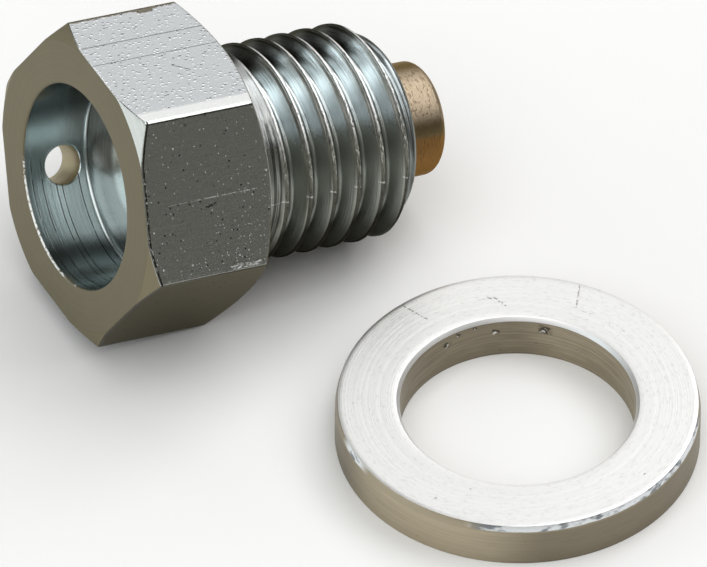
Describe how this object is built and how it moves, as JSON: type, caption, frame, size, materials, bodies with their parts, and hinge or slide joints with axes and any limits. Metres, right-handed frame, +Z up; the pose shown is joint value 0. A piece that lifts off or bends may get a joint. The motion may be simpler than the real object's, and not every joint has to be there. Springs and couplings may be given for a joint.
{
  "type": "magnetic drain plug",
  "caption": "Hex-headed magnetic drain plug with a hollow, wire-drilled head, a threaded shank and a protruding magnet slug, lying beside its flat sealing washer.",
  "frame": {"origin": "on the floor, at the middle of the box round the plug and its washer", "axes": "+Z up from the floor; the plug's axis lies in a plane of constant Y and runs from the head towards +X and down"},
  "size_m": [0.0232, 0.0322, 0.014],
  "materials": {
    "plated_steel": "turned and bright plated, drawn-bar flats with pits and scratches",
    "magnet": "bronze-brown, finely ground along its axis",
    "aluminium": "turned bright, with fine rings, nicks and dents"
  },
  "bodies": {
    "root": {"plug_body": "plated_steel", "magnet": "magnet", "sealing_washer": "aluminium"}
  },
  "joints": []
}
